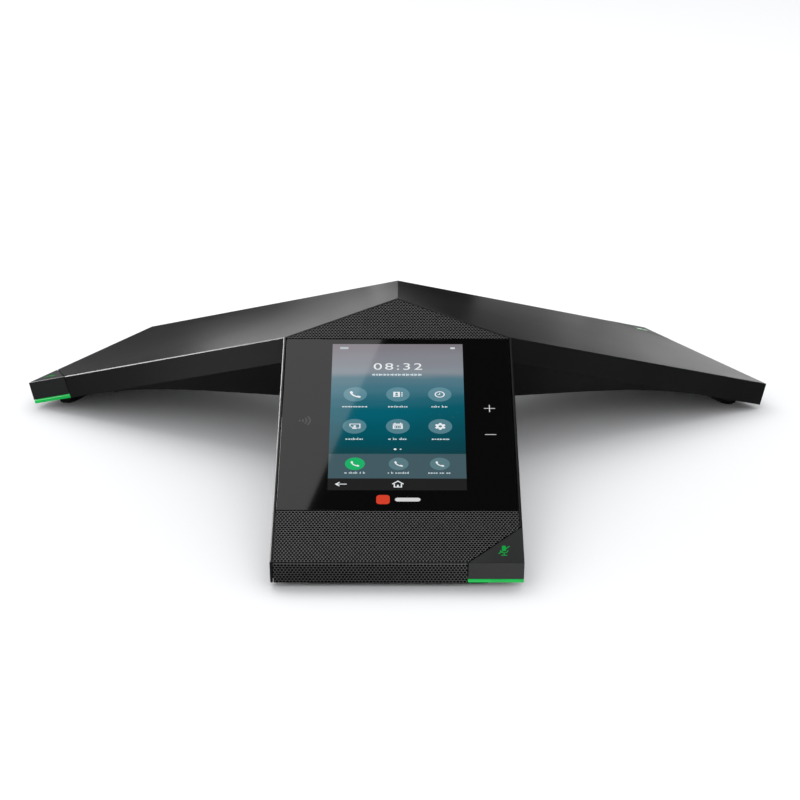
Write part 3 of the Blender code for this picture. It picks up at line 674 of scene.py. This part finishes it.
pictureLook = {
    "glow": 1.0,
    # from the top of the picture down: lilac sky, horizon, teal water
    "sky": [(0.0, rgb(126, 121, 128)), (0.12, rgb(132, 134, 142)), (0.19, rgb(133, 141, 149)),
            (0.26, rgb(82, 119, 133)), (0.33, rgb(66, 114, 129)), (0.41, rgb(34, 100, 116)),
            (0.48, rgb(6, 94, 110)), (0.62, rgb(4, 84, 98)), (0.70, rgb(6, 76, 88)),
            (0.775, rgb(20, 68, 76))],
    "rightShade": rgb(20, 52, 58), "drops": rgb(150, 190, 200),
    "bandTint": (0.72, rgb(78, 98, 106)), "discTint": (0.42, rgb(126, 168, 180)),
    "bar": rgb(35, 35, 35), "dimDisc": rgb(92, 124, 132), "greenDisc": rgb(32, 178, 104),
    "sign": rgb(236, 240, 242), "words": rgb(206, 220, 225),
    # the rest is in millimetres from the middle of the picture's top edge
    "band": 84.5, "navigation": 102.3, "columns": (-19.8, 0.2, 19.8), "rows": (-39.8, -64.2),
    "discRadius": 5.5, "signSize": 5.0, "captionDrop": 9.3, "captionHeight": 1.7,
    "wordWidths": ((12.2, 9.2, 8.2), (8.0, 9.0, 8.1)),
    "pageDots": ((-1.0, -81.2, 0.65), (1.5, -81.2, 0.45)),
    "callers": ((-19.2, 9.6), (0.6, 9.8), (19.3, 10.7)), "callerRow": -91.8, "callerRadius": 4.5,
    "receiver": 3.8, "callerCaption": (-98.2, 1.5),
    "back": (-25.1, -106.4, 4.9), "home": (0.3, -106.4, 5.0), "date": (0.2, -24.0, 24.6, 2.6, 7),
    "statusMarks": ((-25.6, -2.6, 4.0, 0.5), (-25.6, -3.6, 4.0, 0.5), (26.4, -3.1, 2.2, 1.4, 0.3)),
    "clock": {"text": "08:32", "size": 0.0074, "spacing": 1.22, "widen": 1.2, "at": (0.0002, -0.0182)},
}


def litFinish(name):
    # nothing but its own light, under the shine of the glass
    finish = Finish(name, Base_Color=(0, 0, 0, 1), Specular_IOR_Level=0.5, IOR=1.5)
    return finish.set(Roughness=glassSheen(finish), Emission_Strength=pictureLook["glow"])


def glowing(name, colour):
    # one lit colour with the faintest unevenness of a backlight
    finish = litFinish(name)
    finish.set(Emission_Color=finish.mix(finish.noise(40, 2.0), colour, dimmed(colour, 0.94)))
    return finish.material


def skyColour(finish):
    # dusk over water, darker to the right, with faint round drops of light
    x, y = finish.axis(0), finish.axis(1)
    cloud = finish.noise(28, 3.0, 0.5, (0.5, 1.6, 1))
    down = (screen["top"] - y) / screen["height"] + 0.10 * (cloud - 0.5)
    colour = finish.node("ValToRGB", {"stops": pictureLook["sky"]}, {"Fac": down})
    right = (x / screen["width"] + 0.5).step(0.35, 1.05)
    shade = right * down.step(0.2, 0.75) * 0.45
    colour = finish.mix(shade, colour, pictureLook["rightShade"])
    where = finish.node("Mapping", None, {"Vector": finish.place(), "Scale": (1, 1, 0)})
    spots = finish.node("TexVoronoi", {"feature": "F1", "voronoi_dimensions": "2D"},
                        {"Vector": where, "Scale": 210, "Randomness": 1.0})
    drops = (1 - spots.step(0.12, 0.2)) * down.step(0.45, 0.8) * right * cloud.step(0.5, 0.62)
    return finish.mix(drops * 0.28, colour, pictureLook["drops"])


def litPicture(name, tint=None):
    finish = litFinish(name)
    colour = skyColour(finish)
    if tint:
        share, towards = tint
        colour = finish.mix(share, colour, towards)
    finish.set(Emission_Color=colour)
    return finish.material


def handset(drawing, x, y, size):
    # a telephone receiver: a curved grip between two blunt ends
    curve = [(x + size * (px - 0.02), y + size * py) for px, py in
             ((-0.38, 0.30), (-0.30, 0.02), (-0.10, -0.20), (0.14, -0.36), (0.40, -0.42))]
    drawing.line(curve, size * 0.16)
    drawing.shape([(x + size * px, y + size * py) for px, py in
                   ((-0.52, 0.34), (-0.42, 0.48), (-0.28, 0.44),
                    (-0.20, 0.20), (-0.34, 0.08), (-0.46, 0.12))])
    drawing.shape([(x + size * px, y + size * py) for px, py in
                   ((0.24, -0.20), (0.46, -0.28), (0.54, -0.42),
                    (0.44, -0.54), (0.24, -0.50), (0.14, -0.32))])


def contactBook(drawing, x, y, size):
    w, h = size * 0.62, size * 0.78
    left = x - size * 0.12
    drawing.bar(left - w * 0.42, y, w * 0.16, h)
    drawing.bar(left + w * 0.42, y, w * 0.16, h)
    drawing.bar(left, y + h * 0.42, w, h * 0.16)
    drawing.bar(left, y - h * 0.43, w, h * 0.14)
    for sx in (-1, 1):
        drawing.shape([(left + sx * w * 0.36, y + h * 0.36), (left + sx * w * 0.36, y - h * 0.38),
                       (left + sx * w * 0.30, y - h * 0.38), (left + sx * w * 0.16, y - h * 0.10),
                       (left + sx * w * 0.20, y + h * 0.16), (left + sx * w * 0.10, y + h * 0.36)])
    drawing.bar(left, y - h * 0.10, w * 0.30, h * 0.08)
    for row in (-1, 0, 1):
        drawing.bar(x + size * 0.38, y + row * h * 0.32, size * 0.12, size * 0.16)


def clockFace(drawing, x, y, size):
    drawing.ring(x, y, size * 0.42, size * 0.11)
    drawing.line([(x, y + size * 0.24), (x, y - size * 0.02), (x - size * 0.20, y - size * 0.06)],
                 size * 0.08)


def sharedScreen(drawing, x, y, size):
    drawing.line([(x + size * px, y + size * py) for px, py in
                  ((-0.42, 0.02), (-0.42, 0.34), (0.50, 0.34), (0.50, -0.26), (0.26, -0.26))], size * 0.10)
    drawing.disc(x + size * 0.02, y + size * 0.02, size * 0.13, 20)
    drawing.shape([(x + size * px, y + size * py) for px, py in
                   ((-0.22, -0.38), (-0.14, -0.16), (0.16, -0.16), (0.24, -0.38))])
    drawing.ring(x - size * 0.40, y - size * 0.34, size * 0.28, size * 0.08, 20, 85, 8)


def calendarPage(drawing, x, y, size):
    drawing.bar(x, y + size * 0.32, size * 0.92, size * 0.16, size * 0.05)
    for side in (-1, 1):
        drawing.bar(x + side * size * 0.26, y + size * 0.46, size * 0.10, size * 0.14)
        drawing.bar(x + side * size * 0.38, y - size * 0.10, size * 0.16, size * 0.56)
    drawing.bar(x, y + size * 0.13, size * 0.60, size * 0.10)
    drawing.bar(x, y - size * 0.33, size * 0.60, size * 0.10)
    for column in (-0.2, 0, 0.2):
        drawing.bar(x + size * column, y - size * 0.10, size * 0.07, size * 0.20)


def gearWheel(drawing, x, y, size, teeth=6):
    drawing.ring(x, y, size * 0.26, size * 0.20, steps=36)
    for tooth in range(teeth):
        angle = math.radians(90 + 360 * tooth / teeth)
        out = Vector((math.cos(angle), math.sin(angle)))
        side = Vector((-out.y, out.x))
        drawing.shape([Vector((x, y)) + size * (out * reach + side * half) for reach, half in
                       ((0.34, 0.15), (0.34, -0.15), (0.50, -0.10), (0.50, 0.10))])


def houseSign(drawing, x, y, size):
    drawing.line([(x + size * px, y + size * py) for px, py in ((-0.5, 0.02), (0, 0.44), (0.5, 0.02))],
                 size * 0.12)
    drawing.line([(x + size * px, y + size * py) for px, py in
                  ((-0.32, 0.06), (-0.32, -0.40), (0.32, -0.40), (0.32, 0.06))], size * 0.11)
    drawing.bar(x, y - size * 0.24, size * 0.16, size * 0.30)


def backSign(drawing, x, y, size):
    drawing.line([(x + size * 0.5, y), (x - size * 0.46, y)], size * 0.10)
    drawing.line([(x + size * px, y + size * py) for px, py in ((-0.16, 0.28), (-0.5, 0), (-0.16, -0.28))],
                 size * 0.11)


signs = ((handset, contactBook, clockFace), (sharedScreen, calendarPage, gearWheel))


def digits(text, size, spacing):
    # numbers as flat outlines, centred, in metres
    curve = bpy.data.curves.new("digits", "FONT")
    curve.body, curve.size, curve.align_x, curve.align_y = text, size, "CENTER", "CENTER"
    curve.space_character = spacing
    holder = bpy.data.objects.new("digits", curve)
    bpy.context.scene.collection.objects.link(holder)
    bpy.context.view_layer.update()
    bm = bmesh.new()
    bm.from_mesh(holder.to_mesh())
    holder.to_mesh_clear()
    bpy.data.objects.remove(holder)
    bpy.data.curves.remove(curve)
    return bm


def makePicture():
    # three grounds, then discs a layer above them, then signs and words a layer above those
    look, origin, low = pictureLook, (0, screen["top"]), screen["above"]
    middle, high = low + screen["layer"], low + 2 * screen["layer"]
    wide, tall = screen["width"] * 1000, screen["height"] * 1000
    band, bar = look["band"], look["navigation"]
    place = {"leg": "front", "slot": "screen_teal"}

    drawing = Drawing(origin, low)
    drawing.bar(0, -band / 2 - 0.1, wide + 0.3, band + 0.5)
    drawing.finish("pictureSky", litPicture("litSky"), **place)
    drawing = Drawing(origin, low)
    drawing.bar(0, -(band + bar) / 2, wide + 0.3, bar - band)
    drawing.finish("pictureBand", litPicture("litBand", look["bandTint"]), **place)
    drawing = Drawing(origin, low)
    drawing.bar(0, -(bar + tall) / 2 - 0.1, wide + 0.3, tall - bar + 0.3)
    drawing.finish("pictureBar", glowing("litBar", look["bar"]), **place)

    discs, green, dim = (Drawing(origin, middle) for count in range(3))
    marks, faint = (Drawing(origin, high) for count in range(2))
    for y, kinds, widths in zip(look["rows"], signs, look["wordWidths"]):
        for x, kind, width in zip(look["columns"], kinds, widths):
            discs.disc(x, y, look["discRadius"], 48)
            kind(marks, x, y, look["signSize"])
            faint.words(x, y - look["captionDrop"], width, look["captionHeight"], x + y)
    thisPage, nextPage = look["pageDots"]
    marks.disc(*thisPage, 16)
    faint.disc(*nextPage, 16)
    y, (captionRow, captionHeight) = look["callerRow"], look["callerCaption"]
    for x, width in look["callers"]:
        (green if x < -1 else dim).disc(x, y, look["callerRadius"], 40)
        handset(marks, x, y, look["receiver"])
        faint.words(x, captionRow, width, captionHeight, x)
    backSign(marks, *look["back"])
    houseSign(marks, *look["home"])
    faint.words(*look["date"])
    for mark in look["statusMarks"]:
        faint.bar(*mark)
    dim.finish("dimDiscs", glowing("litDim", look["dimDisc"]), **place)
    discs.finish("signDiscs", litPicture("litDisc", look["discTint"]), **place)
    green.finish("callDisc", glowing("litGreen", look["greenDisc"]), leg="front", slot="light_green")
    marks.finish("signs", glowing("litWhite", look["sign"]), **place)
    faint.finish("signWords", glowing("litFaint", look["words"]), **place)

    clock = look["clock"]
    bm = digits(clock["text"], clock["size"], clock["spacing"])
    bmesh.ops.scale(bm, verts=bm.verts, vec=(clock["widen"], 1, 1))
    bmesh.ops.translate(bm, verts=bm.verts, vec=(clock["at"][0], screen["top"] + clock["at"][1], high))
    piece("clockDigits", bm, bpy.data.materials["litWhite"], **place)


# touch marks beside the picture, in millimetres from the apex; the badge is two bars with round corners
markLook = {"plus": (42.86, -89.4), "minus": (42.86, -109.1), "length": 5.2, "stroke": 0.42,
            "upright": (1.45, 2.5), "reader": (-45.2, -98.9), "waves": (1.6, 3.2, 4.8), "waveStroke": 0.8,
            "fan": (-42, 42), "readerDot": 0.6,
            "badge": (-6.3, -156.1, 6.0, 6.4, 1.6), "pill": (4.7, -156.1, 11.4, 2.6, 1.3)}


def makeGlassMarks():
    # louder, quieter, contactless reader and a plain badge
    look, at, place = markLook, screen["above"], {"leg": "front", "slot": "label_white"}
    length, stroke = look["length"], look["stroke"]
    marks = Drawing((0, 0), at)
    x, y = look["plus"]
    marks.bar(x, y, length, stroke)
    offset, half = look["upright"]
    for side in (1, -1):
        marks.bar(x, y + side * offset, stroke, half)
    marks.bar(*look["minus"], length, stroke)
    marks.finish("volumeMarks", glowing("litMarks", rgb(216, 216, 216)), **place)
    waves = Drawing((0, 0), at)
    x, y = look["reader"]
    for radius in look["waves"]:
        waves.ring(x, y, radius, look["waveStroke"], *look["fan"], 14)
    waves.disc(x, y, look["readerDot"], 14)
    waves.finish("readerMark", glowing("litReader", rgb(58, 58, 62)), **place)
    dot = Drawing((0, 0), at)
    dot.bar(*look["badge"])
    dot.finish("badgeDot", glowing("litBadge", rgb(214, 66, 44)), **place)
    pill = Drawing((0, 0), at)
    pill.bar(*look["pill"])
    pill.finish("badgeBar", glowing("litPill", rgb(214, 214, 214)), **place)


makePicture()
makeGlassMarks()
print("picture drawn")


# ---- mute keys: lit sign on the top and the light bar beneath

# the sign's place is in millimetres from the leg's corner
lightLook = {"bar": rgb(22, 182, 78), "unlit": rgb(10, 60, 28), "barGlow": 1.0, "sign": rgb(20, 160, 66),
             "signAt": (-8.5, 8.0), "signSize": (4.6, 7.4), "signAbove": 0.00002}


def litBar(name):
    finish = Finish(name, Specular_IOR_Level=0.3, Roughness=0.35)
    uneven = finish.noise(120, 2.0)
    colour = finish.mix(uneven.step(0.3, 0.7), lightLook["bar"], dimmed(lightLook["bar"], 0.8))
    finish.set(Base_Color=lightLook["unlit"], Emission_Color=colour, Emission_Strength=lightLook["barGlow"])
    return finish.material


def crossedMicrophone(drawing, x, y, w, h):
    drawing.bar(x - 0.1, y + h * 0.22, w * 0.40, h * 0.50, w * 0.20)
    drawing.ring(x - 0.1, y + h * 0.04, w * 0.36, w * 0.10, 180, 360, 16)
    drawing.bar(x - 0.1, y - h * 0.30, w * 0.10, h * 0.14)
    drawing.bar(x - 0.1, y - h * 0.40, w * 0.56, h * 0.07)
    drawing.line([(x - w * 0.55, y - h * 0.26), (x + w * 0.52, y + h * 0.42)], w * 0.11)


def makeKeys():
    for leg in legTurn:
        wearFinish(f"light_bar_{leg}", litBar(f"litBar_{leg}"))
        nodes[f"light_bar_{leg}"].visible_diffuse = False    # too faint to tint the table
        drawing = Drawing((halfLeg, legEnd), lightLook["signAbove"])
        crossedMicrophone(drawing, *lightLook["signAt"], *lightLook["signSize"])
        sign = glowing(f"litSign_{leg}", lightLook["sign"])
        drawing.finish(f"muteSign_{leg}", sign, body=f"mute_key_{leg}_body", leg=leg, slot="light_green")


makeKeys()
print("keys lit")


# ---- contacts in the sockets and print on the label

# a wire of the network socket runs through these points, in from its mouth and up from its floor
socketLook = {
    "gold": rgb(212, 168, 84), "worn": rgb(168, 128, 60),
    "pins": 8, "pinStep": 0.00102, "pinHalf": 0.00018, "pinThick": 0.0003,
    "wire": ((-0.0145, 0.0092), (-0.0135, 0.0090), (-0.0060, 0.0064), (-0.0050, 0.0066)),
    "usbPins": (-1.5, -0.5, 0.5, 1.5), "usbStep": 0.0024, "usbHalf": 0.0005,
    "usbAlong": (-0.0095, -0.0018), "usbHeight": (-0.00352, -0.00342),
    "printRows": (34, 30, 36, 22),
}


def goldContact(name):
    finish = Finish(name, Metallic=1.0)
    rub = finish.noise(900, 4.0)
    finish.set(Base_Color=finish.mix(rub, socketLook["gold"], socketLook["worn"]),
               Roughness=0.22 + 0.2 * rub)
    return finish.material


def addBox(bm, low, high):
    made = bmesh.ops.create_cube(bm, size=1.0)["verts"]
    for vert in made:
        vert.co = Vector(low[i] if vert.co[i] < 0 else high[i] for i in range(3))


def addWire(bm, x, path):
    # a flat spring wire at x, one closed box for each stretch of its path through y and z
    for (y0, z0), (y1, z1) in zip(path, path[1:]):
        corners = []
        for side in (-socketLook["pinHalf"], socketLook["pinHalf"]):
            for rise in (0, socketLook["pinThick"]):
                corners.append(bm.verts.new((x + side, y0, z0 + rise)))
                corners.append(bm.verts.new((x + side, y1, z1 + rise)))
        a, b, c, d, e, f, g, h = corners
        for quad in ((a, b, d, c), (e, g, h, f), (a, e, f, b), (c, d, h, g), (a, c, g, e), (b, f, h, d)):
            bm.faces.new(quad)


def makeSocketDetails():
    look, gold = socketLook, goldContact("goldContact")
    low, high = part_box("lan_jack")
    bm = bmesh.new()
    for pin in range(look["pins"]):
        x = (low.x + high.x) / 2 + (pin - (look["pins"] - 1) / 2) * look["pinStep"]
        addWire(bm, x, [(high.y + y, low.z + z) for y, z in look["wire"]])
    bmesh.ops.recalc_face_normals(bm, faces=bm.faces)
    piece("lanContacts", bm, gold, slot="copper")

    low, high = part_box("usb_host_port")
    (back, front), (under, over), half = look["usbAlong"], look["usbHeight"], look["usbHalf"]
    bm = bmesh.new()
    for pin in look["usbPins"]:
        x = (low.x + high.x) / 2 + pin * look["usbStep"]
        addBox(bm, (x - half, high.y + back, high.z + under), (x + half, high.y + front, high.z + over))
    piece("usbContacts", bm, gold, slot="copper")

    low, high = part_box("rating_label")
    lines = Drawing((0, (low.y + high.y) / 2), low.z - 0.00002)
    for row, width in enumerate(look["printRows"]):
        lines.words(-18 + width / 2, 8 - row * 4.2, width, 1.6, row)
    lines.bar(11, -9, 12, 5)
    bmesh.ops.reverse_faces(lines.bm, faces=lines.bm.faces)
    ink = Finish("labelInk")
    grain = ink.noise(900, 3.0)
    ink.set(Base_Color=ink.mix(grain, rgb(50, 50, 52), rgb(64, 64, 66)), Roughness=0.5 + 0.1 * grain)
    lines.finish("labelPrint", ink.material, slot="label_white")


makeSocketDetails()
print("sockets finished")


# ---- softened edges on the moulded parts

edgeLook = {"width": 0.0003, "segments": 3, "angle": 14}

for node in ["top_cover"] + [f"mute_key_{leg}" for leg in legTurn]:
    bevel = nodes[node].modifiers.new("softEdges", "BEVEL")
    bevel.width, bevel.segments = edgeLook["width"], edgeLook["segments"]
    bevel.limit_method, bevel.angle_limit = "ANGLE", math.radians(edgeLook["angle"])
print("edges softened")


# ---- floor, lights and camera

studio = {
    "floorColour": rgb(235, 236, 238), "floorHalf": 12, "floorDrop": 0.0001, "daylight": 0.966,
    "camera": {"lens": 115.15, "sensor": 36, "clip": (0.01, 60), "at": (0.00117, -1.1836, 0.4484),
               "turn": (70.483, -0.085, 0.029)},
    "lights": {
        "windowBox": {"at": (-0.374, 0.550, 0.787), "turn": (0, 0, -19.15), "size": (0.70, 1.00),
                      "radiance": 0.95, "glossy": True, "diffuse": True},
        "ceiling": {"at": (0.0, 0.45, 1.5), "aim": (0, 0.02, 0), "size": (1.8, 1.2),
                    "radiance": 0.72, "glossy": False, "diffuse": True},
        "front": {"at": (0.0, -1.6, 1.2), "aim": (0, 0, 0), "size": (2.0, 1.0),
                  "radiance": 0.70, "glossy": False, "diffuse": True},
        # cards that show only as shine: along the left edges, and as pale paper under the front and left
        "leftEdge": {"at": (-0.9, 0.35, 0.55), "aim": (0, 0, 0.03), "size": (0.35, 0.35),
                     "radiance": 26.0, "glossy": True, "diffuse": False},
        "leftLow": {"at": (-0.75, 0.85, 0.32), "aim": (0, 0, 0.03), "size": (0.35, 0.25),
                    "radiance": 14.0, "glossy": True, "diffuse": False},
        "paperFront": {"at": (0.052, -0.24, -0.11), "aim": (0.045, -0.166, 0.012), "size": (0.05, 0.09),
                       "radiance": 1.5, "glossy": True, "diffuse": False},
        "paperLeft": {"at": (-0.235, -0.075, -0.02), "aim": (-0.07, 0.0, 0.045), "size": (0.08, 0.08),
                      "radiance": 0.75, "glossy": True, "diffuse": False},
    },
    # glow low on the wall behind, as upright strips: left edge, right edge and brightness
    "wallAt": 1.1, "wallSpan": (-0.40, 0.03),
    "wall": [(-0.15, -0.08, 1.76), (-0.08, 0.00, 1.35), (0.22, 0.30, 1.45), (0.30, 0.38, 2.4),
             (0.38, 0.48, 3.0), (0.48, 0.60, 1.9), (0.60, 0.75, 0.45)],
    # small cards beside the rear legs: leg, side, gap, from and to down the slope, from and to above it
    "legCards": [("left", -1, 0.04, 0.0, 0.1, 0.03, 0.06, 1.0),
                 ("left", -1, 0.04, 0.1, 0.2, 0.06, 0.12, 3.1),
                 ("left", -1, 0.08, 0.1, 0.2, 0.12, 0.25, 0.4),
                 ("right", 1, 0.08, 0.06, 0.14, -0.05, 0.0, 3.8),
                 ("right", 1, 0.08, 0.14, 0.22, 0.0, 0.03, 0.46)],
}


def makeFloor():
    bm = bmesh.new()
    bmesh.ops.create_grid(bm, x_segments=2, y_segments=2, size=studio["floorHalf"])
    mesh = bpy.data.meshes.new("floor")
    bm.to_mesh(mesh)
    bm.free()
    floor = bpy.data.objects.new("floor", mesh)
    bpy.context.scene.collection.objects.link(floor)
    finish = Finish("floorPaper", Specular_IOR_Level=0.0, Roughness=1.0, Base_Color=studio["floorColour"])
    mesh.materials.append(finish.material)
    floor.visible_glossy = floor.visible_shadow = False
    floor.location.z = -studio["floorDrop"]


def addLamp(name, size, radiance, glossy=True, diffuse=False):
    # an even rectangular light that the camera doesn't see
    lamp = bpy.data.lights.new(name, "AREA")
    lamp.shape = "RECTANGLE"
    lamp.size, lamp.size_y = size
    lamp.energy = radiance * math.pi * lamp.size * lamp.size_y
    lit = bpy.data.objects.new(name, lamp)
    bpy.context.scene.collection.objects.link(lit)
    lit.visible_camera = lit.visible_transmission = False
    lit.visible_glossy, lit.visible_diffuse = glossy, diffuse
    return lit


def makeLights():
    for name, spec in studio["lights"].items():
        lit = addLamp(name, spec["size"], spec["radiance"], spec["glossy"], spec["diffuse"])
        lit.location = spec["at"]
        if "aim" in spec:
            away = Vector(spec["at"]) - Vector(spec["aim"])
            lit.rotation_euler = away.to_track_quat("Z", "Y").to_euler()
        else:
            lit.rotation_euler = [math.radians(angle) for angle in spec["turn"]]
    low, high = studio["wallSpan"]
    for number, (left, right, radiance) in enumerate(studio["wall"]):
        lit = addLamp(f"wallGlow{number}", (right - left, high - low), radiance)
        lit.location = ((left + right) / 2, studio["wallAt"], (low + high) / 2)
        lit.rotation_euler.x = math.radians(-90)
    for number, (leg, side, gap, start, end, low, high, radiance) in enumerate(studio["legCards"]):
        lit = addLamp(f"legCard{number}", (end - start, high - low), radiance)
        middle = Vector((side * (halfLeg + gap), -(start + end) / 2, (low + high) / 2))
        along, away = Vector((0, -1, 0)), Vector((side, 0, 0))
        square = Matrix((along, away.cross(along), away)).transposed().to_4x4()
        lit.matrix_world = legFrame(leg) @ Matrix.Translation(middle) @ square


def makeRoom():
    # white where the camera looks past the floor, an even sky for matt surfaces, and black for shiny ones
    world = bpy.data.worlds.new("room")
    bpy.context.scene.world = world
    world.use_nodes = True
    tree = world.node_tree
    seen = tree.nodes.new("ShaderNodeLightPath")
    level = tree.nodes.new("ShaderNodeMath")
    level.operation = "MULTIPLY_ADD"
    level.inputs[1].default_value = studio["daylight"]
    tree.links.new(seen.outputs["Is Diffuse Ray"], level.inputs[0])
    tree.links.new(seen.outputs["Is Camera Ray"], level.inputs[2])
    background = tree.nodes["Background"]
    background.inputs["Color"].default_value = (1, 1, 1, 1)
    tree.links.new(level.outputs[0], background.inputs["Strength"])


def makeCamera():
    look = studio["camera"]
    lens = bpy.data.cameras.new("camera")
    lens.sensor_width, lens.lens = look["sensor"], look["lens"]
    lens.clip_start, lens.clip_end = look["clip"]
    camera = bpy.data.objects.new("camera", lens)
    bpy.context.scene.collection.objects.link(camera)
    camera.location = look["at"]
    camera.rotation_euler = [math.radians(angle) for angle in look["turn"]]
    bpy.context.scene.camera = camera
    bpy.context.scene.view_settings.view_transform = "Standard"


makeFloor()
makeLights()
makeRoom()
makeCamera()
print("studio ready")
